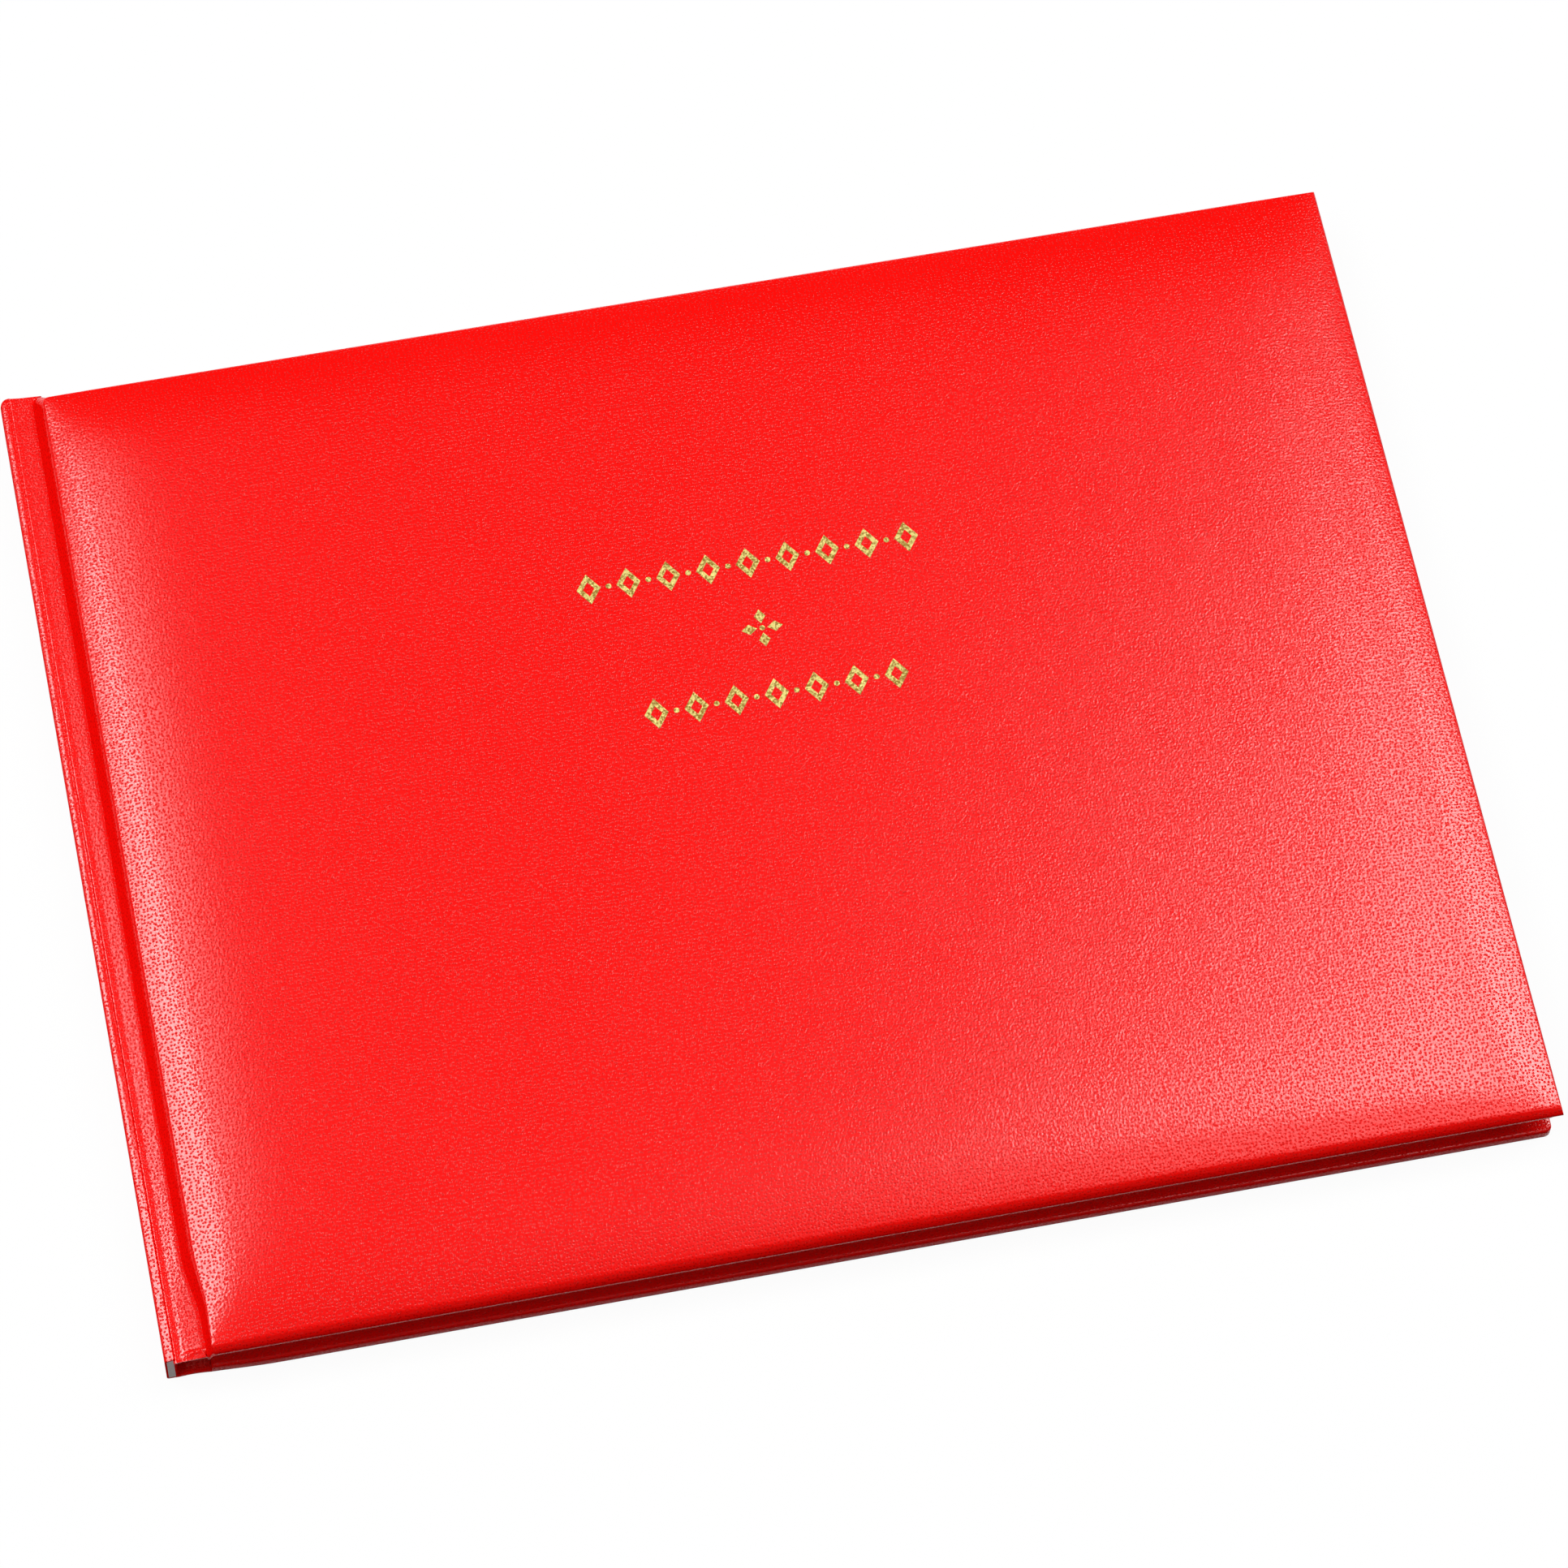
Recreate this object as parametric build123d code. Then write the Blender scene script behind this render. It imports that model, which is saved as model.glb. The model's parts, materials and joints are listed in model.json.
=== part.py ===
from build123d import *
import math
import os

# A landscape address book in a padded leatherette case, closed and lying on its back cover.
# Millimetres. +Z is up, the spine is at -X, the fore edge at +X and the head at +Y.
# The origin is the middle of the back cover's outer face.

os.makedirs("parts", exist_ok=True)

# Case
book_width = 203.0  # spine's outer face to the covers' fore edge
book_height = 156.0  # head to tail over the covers
board_thickness = 1.8
wrap_thickness = 0.3  # leatherette
turn_in_width = 14.0  # leatherette folded over on to the inner side
board_corner_radius = 3.0
fold_radius = 0.6  # outer radius of the leatherette's fold round a sharp edge

# Padding on the front board
pad_edge_height = 0.6
pad_edge_radius = 0.5
pad_shoulder_width = 16.0  # how far in from the edge the roll-off reaches
pad_shoulder_rise = 1.9
pad_dome_rise = 0.5  # further rise from the shoulders to the middle

# Spine and joints
inlay_thickness = 1.0  # card strip inside the spine
spine_lift = 0.3  # spine's lower edge above the table
hollow_depth = 0.6  # gap behind the lining, which lets the spine bend away
lining_thickness = 0.3  # gauze and glue on the leaves' folded edges
lining_inset = 4.0  # lining's ends in from the leaves' head and tail
opened_clearance = 1.5  # gap between the spine and a cover that is folded right back
groove_bow = 0.25  # how far the leatherette in a joint bows
front_hinge_rise = 0.43  # front cover's hinge line above the spine's upper edge
back_hinge_rise = 0.4  # back cover's hinge line above the spine's lower edge

# Leaves
letter_pairs = ("ab", "cd", "ef", "gh", "ij", "kl", "mn", "op", "qr", "st", "uv", "wx", "yz")
leaves_per_pair = 2
leaf_thickness = 0.1
endpaper_thickness = 0.12
leaf_gap = 0.01  # air between one leaf and the next
cover_overhang = 3.0  # covers past the leaves at head, tail and fore edge
tab_depth = 7.0  # width of the stepped index
tab_corner_radius = 1.2

# Foil ornament
foil_thickness = 0.05
foil_row_counts = (9, 7)  # lozenges in the upper and the lower row
foil_row_pitch = 11.0
foil_mark_pitch = 6.0
foil_drop = 59.5  # head edge to the floret in the middle
lozenge_width = 3.6
lozenge_height = 5.0
lozenge_stroke = 0.75
foil_dot_radius = 0.42
petal_width = 1.7
petal_length = 2.3

# Levels in Z
cover_thickness = board_thickness + 2 * wrap_thickness
pair_thickness = leaves_per_pair * (leaf_thickness + leaf_gap)
block_low = cover_thickness + endpaper_thickness + leaf_gap
pairs_low = block_low + endpaper_thickness + leaf_gap
pairs_high = pairs_low + len(letter_pairs) * pair_thickness
block_high = pairs_high + endpaper_thickness + leaf_gap
lip = block_high + endpaper_thickness  # front cover's inner face
front_board_low = lip + wrap_thickness
front_board_high = front_board_low + board_thickness
pad_edge = front_board_high + pad_edge_height
spine_low = spine_lift
spine_high = lip + wrap_thickness

# Places in X
spine_out = -book_width / 2
inlay_out = spine_out + wrap_thickness
inlay_in = inlay_out + inlay_thickness
spine_in = inlay_in + wrap_thickness
lining_out = spine_in + hollow_depth
fold = lining_out + lining_thickness  # leaves' folded edges
cover_near = fold + (fold - spine_out) + opened_clearance  # covers' edge beside the joint
board_near = cover_near + wrap_thickness
fore_edge = book_width / 2
board_far = fore_edge - wrap_thickness
leaf_far = fore_edge - cover_overhang
panel_middle = (cover_near + fore_edge) / 2

# Places in Y
half_height = book_height / 2
board_half = half_height - wrap_thickness
leaf_half = half_height - cover_overhang
lining_half = leaf_half - lining_inset
tab_height = 2 * leaf_half / len(letter_pairs)

# Hinge lines, along Y at the leaves' folds
hinge_x = fold
front_hinge_z = spine_high + front_hinge_rise
back_hinge_z = spine_low + back_hinge_rise


def block(x_range, half_y, z_range):
    """Box over a range in X and in Z, centred in Y."""
    size = (x_range[1] - x_range[0], 2 * half_y, z_range[1] - z_range[0])
    centre = ((x_range[0] + x_range[1]) / 2, 0, (z_range[0] + z_range[1]) / 2)
    return Pos(*centre) * Box(*size)


def board(z_range):
    """Cover's board, with rounded corners."""
    slab = block((board_near, board_far), board_half, z_range)
    return fillet(slab.edges().filter_by(Axis.Z), board_corner_radius)


def along_y(face, half_y):
    """Section drawn in X and Z, drawn out both ways along Y."""
    return extrude(Plane.XZ * face, amount=half_y, both=True)


def along_x(face, half_x, middle_x):
    """Section drawn in Y and Z, drawn out both ways along X."""
    return Pos(middle_x, 0, 0) * extrude(Plane.YZ * face, amount=half_x, both=True)


def shoulder_arc(low, high):
    """Arc from an edge up to a point where it runs level."""
    run = high[0] - low[0]
    rise = high[1] - low[1]
    radius = (run * run + rise * rise) / (2 * rise)
    half_turn = math.asin(abs(run) / radius) / 2
    mid_x = high[0] - math.copysign(radius * math.sin(half_turn), run)
    mid_z = high[1] - radius * (1 - math.cos(half_turn))
    return ThreePointArc(low, (mid_x, mid_z), high)


def rounded(face, level, radius):
    """Round a section's two corners at one level."""
    corners = [v for v in face.vertices() if abs(v.Y - level) < 1e-6]
    return fillet(corners, radius)


def fold_arc(corner, side, radius):
    """Quarter turn at a lower corner; side is 1 where the section lies to the corner's right."""
    inset = radius * (1 - math.sqrt(0.5))
    foot = (corner[0] + side * radius, corner[1])
    middle = (corner[0] + side * inset, corner[1] + inset)
    wall = (corner[0], corner[1] + radius)
    return ThreePointArc(foot, middle, wall)


def crown_section(u_range, base, edge, rise, dome, edge_radius, base_radius):
    """Section of a padded cover: upright edges, shoulders rolling up and a domed or level middle."""
    left = (u_range[0], edge)
    right = (u_range[1], edge)
    top_left = (u_range[0] + pad_shoulder_width, edge + rise)
    top_right = (u_range[1] - pad_shoulder_width, edge + rise)
    crest = ((u_range[0] + u_range[1]) / 2, edge + rise + dome)
    if dome:
        middle = ThreePointArc(top_left, crest, top_right)
    else:
        middle = Line(top_left, top_right)
    outline = [
        Line((u_range[0], base + base_radius), left),
        shoulder_arc(left, top_left),
        middle,
        shoulder_arc(right, top_right),
        Line(right, (u_range[1], base + base_radius)),
        Line((u_range[0] + base_radius, base), (u_range[1] - base_radius, base)),
    ]
    if base_radius:
        outline.append(fold_arc((u_range[0], base), 1, base_radius))
        outline.append(fold_arc((u_range[1], base), -1, base_radius))
    return rounded(make_face(outline), edge, edge_radius)


def crown(x_range, half_y, base, edge, edge_radius, base_radius):
    """Padded form: the solid that a section across and a section along the cover have in common."""
    full_rise = pad_shoulder_rise + pad_dome_rise
    across = crown_section(x_range, base, edge, pad_shoulder_rise, pad_dome_rise, edge_radius, base_radius)
    along = crown_section((-half_y, half_y), base, edge, full_rise, 0, edge_radius, base_radius)
    middle_x = (x_range[0] + x_range[1]) / 2
    half_x = (x_range[1] - x_range[0]) / 2
    return along_y(across, half_y) & along_x(along, half_x, middle_x)


def soft_edged_slab(x_range, half_y, z_range):
    """Flat cover's outer form, with the folds of its leatherette rounded."""
    middle_x = (x_range[0] + x_range[1]) / 2
    middle_z = (z_range[0] + z_range[1]) / 2
    half_x = (x_range[1] - x_range[0]) / 2
    thickness = z_range[1] - z_range[0]
    across = Pos(middle_x, middle_z) * RectangleRounded(2 * half_x, thickness, fold_radius)
    along = Pos(0, middle_z) * RectangleRounded(2 * half_y, thickness, fold_radius)
    return along_y(across, half_y) & along_x(along, half_x, middle_x)


def turn_in_window(z_range):
    """Part of a board's inner face that its leatherette leaves bare."""
    return block((board_near, board_far - turn_in_width), board_half - turn_in_width, z_range)


def pastedown(sheet_z, plug_z):
    """Endpaper's glued half: it runs from the fold across the joint and lies down between the turn-ins."""
    sheet = block((fold, leaf_far), leaf_half, sheet_z)
    return sheet + turn_in_window(plug_z)


def joint_band(low):
    """Leatherette between the spine and a cover, bowed up."""
    start = (spine_in, low)
    end = (cover_near, low)
    crest = ((spine_in + cover_near) / 2, low + groove_bow)
    lifted = [(x, z + wrap_thickness) for x, z in (start, crest, end)]
    outline = [
        ThreePointArc(start, crest, end),
        Line(end, lifted[2]),
        ThreePointArc(*lifted),
        Line(lifted[0], start),
    ]
    return along_y(make_face(outline), half_height)


def leaf_outline(tab_index):
    """Leaf cut back along the fore edge below its own index tab."""
    width = leaf_far - fold
    sheet = Pos((fold + leaf_far) / 2, 0) * Rectangle(width, 2 * leaf_half)
    cut_height = (len(letter_pairs) - 1 - tab_index) * tab_height
    if cut_height > 0:
        cut_middle = (leaf_far - tab_depth / 2, -leaf_half + cut_height / 2)
        sheet -= Pos(*cut_middle) * Rectangle(tab_depth, cut_height)
    tab_low = -leaf_half + cut_height
    corner = [v for v in sheet.vertices() if abs(v.X - leaf_far) < 1e-6 and abs(v.Y - tab_low) < 1e-6]
    return fillet(corner, tab_corner_radius)


def leaf_pair(tab_index):
    """Leaves that share one index tab; the first pair lies uppermost."""
    low = pairs_high - (tab_index + 1) * pair_thickness
    outline = leaf_outline(tab_index)
    leaves = []
    for number in range(leaves_per_pair):
        level = low + number * (leaf_thickness + leaf_gap)
        leaves.append(Pos(0, 0, level) * extrude(outline, amount=leaf_thickness))
    return leaves


def lozenge(width, height):
    """Upright diamond."""
    return Polygon((-width / 2, 0), (0, -height / 2), (width / 2, 0), (0, height / 2), align=None)


def foil_row(count, y):
    """Row of open lozenges with a dot between each two."""
    slant = math.hypot(lozenge_width, lozenge_height)
    inner_width = lozenge_width - 2 * lozenge_stroke * slant / lozenge_height
    inner_height = lozenge_height - 2 * lozenge_stroke * slant / lozenge_width
    open_lozenge = lozenge(lozenge_width, lozenge_height) - lozenge(inner_width, inner_height)
    first = panel_middle - (count - 1) * foil_mark_pitch / 2
    marks = [Pos(first + n * foil_mark_pitch, y) * open_lozenge for n in range(count)]
    for n in range(count - 1):
        marks.append(Pos(first + (n + 0.5) * foil_mark_pitch, y) * Circle(foil_dot_radius))
    return marks


def foil_floret(y):
    """Four petals round a dot."""
    reach = foil_dot_radius + petal_length / 2 + lozenge_stroke / 2
    petal = Pos(0, reach) * lozenge(petal_width, petal_length)
    marks = [Pos(panel_middle, y) * Rot(0, 0, quarter * 90) * petal for quarter in range(4)]
    marks.append(Pos(panel_middle, y) * Circle(foil_dot_radius))
    return marks


def foil_sheet(half_width, y_range):
    """Foil lying on the domed middle of the front cover, before it is stamped into marks."""
    left = cover_near + pad_shoulder_width
    half_chord = (fore_edge - pad_shoulder_width - left) / 2
    radius = (half_chord ** 2 + pad_dome_rise ** 2) / (2 * pad_dome_rise)
    crest = pad_edge + wrap_thickness + pad_shoulder_rise + pad_dome_rise
    under = [(x, crest - radius + math.sqrt(radius ** 2 - x * x)) for x in (-half_width, 0, half_width)]
    over = [(x, z + foil_thickness) for x, z in under]
    outline = [
        ThreePointArc(*under),
        Line(under[2], over[2]),
        ThreePointArc(*over),
        Line(over[0], under[0]),
    ]
    depth = (y_range[1] - y_range[0]) / 2
    middle_y = (y_range[0] + y_range[1]) / 2
    return Pos(panel_middle, middle_y, 0) * along_y(make_face(outline), depth)


def foil_ornament():
    """Stamped marks: two rows of lozenges with a floret between them."""
    middle_y = half_height - foil_drop
    upper_y = middle_y + foil_row_pitch
    lower_y = middle_y - foil_row_pitch
    marks = foil_row(foil_row_counts[0], upper_y) + foil_floret(middle_y) + foil_row(foil_row_counts[1], lower_y)
    half_width = max(foil_row_counts) * foil_mark_pitch / 2
    sheet = foil_sheet(half_width, (lower_y - lozenge_height, upper_y + lozenge_height))
    top = pad_edge + wrap_thickness + pad_shoulder_rise + pad_dome_rise + foil_thickness
    bottom = pad_edge
    solids = []
    for mark in marks:
        stamp = Pos(0, 0, bottom) * extrude(mark, amount=top - bottom + foil_thickness)
        solids.extend((sheet & stamp).solids())
    return solids


# Back cover
back_board = board((wrap_thickness, wrap_thickness + board_thickness))
back_window_z = (wrap_thickness + board_thickness, cover_thickness)
back_wrap = soft_edged_slab((cover_near, fore_edge), half_height, (0, cover_thickness))
back_wrap = back_wrap - back_board - turn_in_window(back_window_z)
back_pastedown = pastedown((cover_thickness, cover_thickness + endpaper_thickness), back_window_z)

# Front cover
front_board = board((front_board_low, front_board_high))
pad_radius = min(pad_edge_radius, 0.9 * pad_edge_height)
front_pad = crown((board_near, board_far), board_half, front_board_high, pad_edge, pad_radius, 0)
front_window_z = (lip, front_board_low)
front_wrap = crown(
    (cover_near, fore_edge), half_height, lip, pad_edge + wrap_thickness, pad_radius + wrap_thickness, fold_radius
)
front_wrap = front_wrap - front_board - front_pad - turn_in_window(front_window_z)
front_pastedown = pastedown((block_high, lip), front_window_z)

# Spine
spine_inlay = block((inlay_out, inlay_in), board_half, (spine_low + wrap_thickness, spine_high - wrap_thickness))
spine_section = Pos((spine_out + spine_in) / 2, (spine_low + spine_high) / 2) * Rectangle(
    spine_in - spine_out, spine_high - spine_low
)
outer_corners = [v for v in spine_section.vertices() if abs(v.X - spine_out) < 1e-6]
spine_wrap = along_y(fillet(outer_corners, fold_radius), half_height) - spine_inlay
spine_wrap -= block(
    (inlay_in, spine_in), board_half - turn_in_width, (spine_low + wrap_thickness, spine_high - wrap_thickness)
)
spine_lining = block((lining_out, fold), lining_half, (block_low, block_high - leaf_gap))

# Flyleaves
back_flyleaf = block((fold, leaf_far), leaf_half, (block_low, block_low + endpaper_thickness))
front_flyleaf = block((fold, leaf_far), leaf_half, (pairs_high, pairs_high + endpaper_thickness))

pieces = {
    "back_board": back_board,
    "back_wrap": back_wrap,
    "back_pastedown": back_pastedown,
    "back_joint": joint_band(spine_low),
    "spine_inlay": spine_inlay,
    "spine_wrap": spine_wrap,
    "spine_lining": spine_lining,
    "front_joint": joint_band(spine_high - wrap_thickness),
    "front_board": front_board,
    "front_pad": front_pad,
    "front_wrap": front_wrap,
    "front_pastedown": front_pastedown,
    "foil_ornament": Compound(foil_ornament()),
    "front_flyleaf": front_flyleaf,
    "back_flyleaf": back_flyleaf,
}
for index, letters in enumerate(letter_pairs):
    pieces["leaves_" + letters] = Compound(leaf_pair(index))

for name, piece in pieces.items():
    export_step(piece, "parts/" + name + ".step")

print("front hinge line at x", round(hinge_x, 4), "z", round(front_hinge_z, 4))
print("back hinge line at x", round(hinge_x, 4), "z", round(back_hinge_z, 4))
print("lip at z", round(lip, 4), "leaves from z", round(block_low, 4), "to", round(block_high, 4))
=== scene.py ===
import json
import math

import bmesh
import bpy
from mathutils import Matrix, Vector
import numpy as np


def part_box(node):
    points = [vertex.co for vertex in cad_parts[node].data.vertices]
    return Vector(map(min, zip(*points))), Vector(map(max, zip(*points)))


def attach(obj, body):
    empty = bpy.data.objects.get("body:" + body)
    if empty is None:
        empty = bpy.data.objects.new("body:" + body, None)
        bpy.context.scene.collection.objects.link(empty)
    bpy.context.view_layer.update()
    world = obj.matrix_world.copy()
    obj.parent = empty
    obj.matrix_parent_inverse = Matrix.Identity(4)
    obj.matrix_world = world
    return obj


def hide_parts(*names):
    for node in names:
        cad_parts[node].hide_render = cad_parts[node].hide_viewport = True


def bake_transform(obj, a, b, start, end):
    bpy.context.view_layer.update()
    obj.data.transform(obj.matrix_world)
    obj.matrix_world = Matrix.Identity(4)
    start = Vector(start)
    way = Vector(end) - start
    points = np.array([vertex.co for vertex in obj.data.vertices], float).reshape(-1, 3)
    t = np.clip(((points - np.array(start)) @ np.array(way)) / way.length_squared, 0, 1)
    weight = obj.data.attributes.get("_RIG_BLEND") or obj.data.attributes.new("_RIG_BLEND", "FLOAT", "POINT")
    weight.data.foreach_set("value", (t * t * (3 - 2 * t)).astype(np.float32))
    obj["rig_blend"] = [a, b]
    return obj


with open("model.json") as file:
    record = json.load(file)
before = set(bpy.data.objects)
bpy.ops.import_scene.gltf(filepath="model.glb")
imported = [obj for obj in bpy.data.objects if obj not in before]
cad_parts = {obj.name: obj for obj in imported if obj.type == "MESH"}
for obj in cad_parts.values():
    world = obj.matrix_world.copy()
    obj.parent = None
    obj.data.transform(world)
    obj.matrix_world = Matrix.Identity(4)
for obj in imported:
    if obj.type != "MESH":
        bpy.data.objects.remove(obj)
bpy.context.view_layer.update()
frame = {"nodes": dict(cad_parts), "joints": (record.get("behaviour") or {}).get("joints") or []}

# A landscape address book in a padded leatherette case, closed and lying on its back cover.
# Metres, in the frame's axes: the spine is at -X, the fore edge at +X, the head at +Y and up is +Z.

MM = 0.001

# Places read from the frame
front_low, front_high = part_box("front_wrap")
back_low, back_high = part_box("back_wrap")
back_joint_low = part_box("back_joint")[0]
spine_low, spine_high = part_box("spine_wrap")
leaf_low, leaf_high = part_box("front_flyleaf")
lining_low, lining_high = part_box("spine_lining")
hinges = {joint["name"]: Vector(joint["pos_m"]) for joint in frame["joints"]}
lip = front_low.z
panel_middle = (front_low.x + front_high.x) / 2

# Front cover's padding
SHOULDER_WIDTH = 16.0 * MM  # flat of the dome starts this far in from the cover's edges
SHOULDER_RISE = 1.9 * MM
DOME_RISE = 0.5 * MM
SWELL_LENGTH = 5.1 * MM  # how quickly the padding swells up from an edge
TAIL_ROLL = 1.05 * MM  # leatherette rolls over the tail's edge within this distance
FORE_ROLL = 0.4 * MM  # and more sharply over the fore edge and head
ROLL_SQUARENESS = 1.4  # 1 is a plain slope, and 2 a round roll
NEAR_ROLL = 1.7 * MM  # and over the edge beside the joint within this distance
NEAR_TAIL_ROLL = 0.5 * MM  # shorter at the tail
NEAR_TAIL_RANGE = (6.0 * MM, 16.0 * MM)  # it lengthens between these distances from the tail
NEAR_TAIL_FADE = 3.0 * MM  # and is shifted for that over this stretch of the cover
NEAR_HOLLOW = 1.2  # 1 is a plain slope
LIP_RADIUS = 1.7 * MM
LIP_START = 2.0 * MM  # lip's rounded edges have their full radius this far from the joint
SIDE_FLAT = 0.1 * MM  # upright stretch between the roll and the lip
FOLD_RADIUS = 0.4 * MM
CORNER_REACH = 2.6 * MM  # lip lifts to a sharp tip this near to a fore corner
CORNER_LIFT = 1.5 * MM
edge_level = front_high.z - SHOULDER_RISE - DOME_RISE
cover_near = front_low.x - NEAR_ROLL
roll_depth = edge_level - lip - LIP_RADIUS - SIDE_FLAT
dome_half = (front_high.x - front_low.x) / 2 - SHOULDER_WIDTH
dome_radius = (dome_half ** 2 + DOME_RISE ** 2) / (2 * DOME_RISE)

# Leatherette in the joint between spine and front cover
CLOTH_THICKNESS = 0.3 * MM
TUCK_DEPTH = 0.5 * MM  # joint's leatherette runs on this far under the spine's bead
TUCK_LEVEL = 0.2 * MM  # and is level for this much of it
JOINT_VALLEY = Vector((-99.75, 0, 5.82)) * MM
JOINT_START = -99.1 * MM  # where the slope up from the spine starts
JOINT_CREST = -97.1 * MM  # and where it ends
JOINT_SLOPES = (0.02, 0.155)  # at the head and at the tail
JOINT_TWIST = 1.75  # over 1, the slope changes most near the tail
JOINT_FALL = 0.03  # slope down from the crest to the cover's wall
JOINT_STEP = 0.1 * MM  # its underside changes level this far before the lining and the hinge
LINING_GAP = 0.02 * MM  # and keeps this far above the lining
CREASE_HEIGHT = 0.22 * MM  # small crease across the joint near its tail
CREASE_PLACE = Vector((-97.9, -77.0, 0)) * MM
CREASE_SIZE = Vector((0.9, 0.3, 0)) * MM
CREASE_LEAN = 0.25
NEAR_HEAD_CORNER = 1.7 * MM  # radius of the cover's corners beside the joint
NEAR_TAIL_CORNER = 0.3 * MM
NEAR_CORNER_LEAD = 2.0 * MM  # joint follows these corners from this far away
NEAR_CORNER_FADE = 9.0 * MM  # and the cover up to this far in
SPINE_OVERHANG = 2.25 * MM  # spine stands past the covers at the head
JOINT_OVERHANG = 1.6 * MM  # and the joint's leatherette beside the front cover
OVERHANG_REACH = 12.0 * MM  # stretch of the joint that is drawn out for it
TAIL_SHORT = 0.45 * MM  # both stand in from the covers at the tail
TAIL_REACH = 6.0 * MM  # stretch of the joint that is drawn in for it
BEND_HALF = 0.6 * MM  # half the width of leatherette that takes a hinge's turn

# Spine
BEAD_EDGE = 5.72 * MM  # level of the spine's outer upper edge
BEAD_CREST = Vector((-100.2, 0, 6.08)) * MM
BEAD_SINK = 0.16 * MM  # crest is lower by this at the head
SPINE_CORNER = 1.3 * MM
SPINE_ROUND = 0.35 * MM
SPINE_SLANT = 0.5 * MM  # its end at the tail leans back by this much from foot to bead
SPINE_TAIL_REACH = 2.0 * MM  # stretch of the spine that leans
SPINE_HEAD_REACH = 4.0 * MM  # stretch that is drawn out past the covers

# Back cover
BACK_SHORT = 0.9 * MM  # back cover's fore edge stands in from the front cover's
BACK_CORNER = 1.0 * MM
BACK_BOW = 0.2 * MM
BACK_STEP = 0.05 * MM  # joint meets the cover's near edge within this distance
BACK_TAIL_FADE = 14.0 * MM  # joint's short tail fades out over this stretch of the cover
back_fore = back_high.x - BACK_SHORT

# Leaves
LETTER_PAIRS = ("ab", "cd", "ef", "gh", "ij", "kl", "mn", "op", "qr", "st", "uv", "wx", "yz")
LEAVES_PER_PAIR = 2
LEAF_THICKNESS = 0.1 * MM
TAB_DEPTH = 7.0 * MM
TAB_CORNER = 1.2 * MM
GUTTER_START = 0.4 * MM  # bend of a turning leaf starts this far from its fold
GUTTER = 9.0 * MM  # and ends this far from it
LETTER_SIZE = 4.2 * MM
LETTER_PROUD = 0.005 * MM
tab_height = (leaf_high.y - leaf_low.y) / len(LETTER_PAIRS)

# Meshes
TOLERANCE = 0.05 * MM  # places nearer than this count as the same
EDGE_BIAS = 2.0  # over 1 draws a grid's lines together near an edge
EDGE_ZONE = 25.0 * MM  # stretch of a cover in which they are drawn together
BACK_ZONE = 12.0 * MM  # and of the back cover's width
ROW_COUNTS = (34, 22, 34)  # lines near one edge, between, and near the other
FRONT_COUNTS = (48, 30, 36)
BACK_COUNTS = (14, 24, 24)
SHARP_EDGE = math.radians(50)  # edges that turn by more than this aren't shaded smooth
RUBBED_STARTS = (-0.06, 0.02)  # upward parts of a normal between which a surface turns rubbed
FRONT_RUBBED_STARTS = (0.0, 0.12)
RUBBED_ENDS = (0.5, 0.85)  # and between which it turns glossy again

# Patterns of the materials, in millimetres
GRAIN_PITCH = 0.55  # from one pit of the leatherette's grain to the next
GRAIN_SWAY = 0.3  # pits stray from even rows by up to this much
RULING = 8.0  # from one ruled line to the next
GAUZE_PITCH = 1.0  # from one thread to the next

# Camera of the photograph
CAMERA_PLACE = Vector((-105.22, -426.33, 905.5)) * MM
CAMERA_TURN = (25.772, -1.407, -11.357)
CAMERA_LENS = 156.25
CAMERA_SENSOR = 36.0
CAMERA_CLIP = 0.05

# Studio
LAMP_DISTANCE = 3.0
AMBIENT = 1.7
AMBIENT_FROM = (-0.50, 0.08, 0.86)  # it comes from overhead, and somewhat from the left
AMBIENT_NARROWNESS = 9.0
AMBIENT_EVEN = 0.04  # the share that comes from all round
AMBIENT_LOW = 0.5  # and from near the horizon, for the upright edges
AMBIENT_RISE = (0.1, 0.4)  # heights between which the second gives way to the first
CEILING = 0.02  # how bright gloss shows the space above the book
CEILING_RISE = (0.0, 0.12)  # heights between which white gives way to it
FLOOR_HALF = 2.0
FLOOR_BOUNCE = 0.12  # floor's grey for the light that it sends back to the book
FLOOR_SHOWN = 0.90  # and for camera and gloss
FLOOR_GLOW = 0.95  # share of plain white in what the camera sees, where the rest keeps the shadow


# Mesh helpers

def graded(start, end, count, bias=1.0):
    """Places from start up to but not at end; a bias over 1 draws them together near start."""
    return [start + (end - start) * (step / count) ** bias for step in range(count)]


def closing(start, end, count):
    """Places after start up to end, drawn together near end."""
    return [end + (start - end) * (1 - step / count) ** EDGE_BIAS for step in range(1, count + 1)]


def edge_lines(start, first, last, end, counts):
    """Places from start to end, even between first and last and drawn together towards start and end."""
    near, middle, far = counts
    places = graded(start, first, near, EDGE_BIAS) + graded(first, last, middle)
    return places + [last] + closing(last, end, far)


def smooth_step(low, high, value):
    """Zero below low, one above high, and a smooth rise between them."""
    share = min(max((value - low) / (high - low), 0.0), 1.0)
    return share * share * (3 - 2 * share)


def round_drop(distance, radius):
    """How far a rounded edge has dropped at a distance in from its outermost line."""
    if distance >= radius:
        return 0.0
    return radius - math.sqrt(max(radius ** 2 - (radius - distance) ** 2, 0.0))


def spread(columns, rows):
    """Flat grid with its lines at the given places in X and Y."""
    mesh = bmesh.new()
    bmesh.ops.create_grid(mesh, x_segments=len(columns) - 1, y_segments=len(rows) - 1, size=1.0)
    for vertex in mesh.verts:
        vertex.co.x = columns[round((vertex.co.x + 1) / 2 * (len(columns) - 1))]
        vertex.co.y = rows[round((vertex.co.y + 1) / 2 * (len(rows) - 1))]
    return mesh


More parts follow.
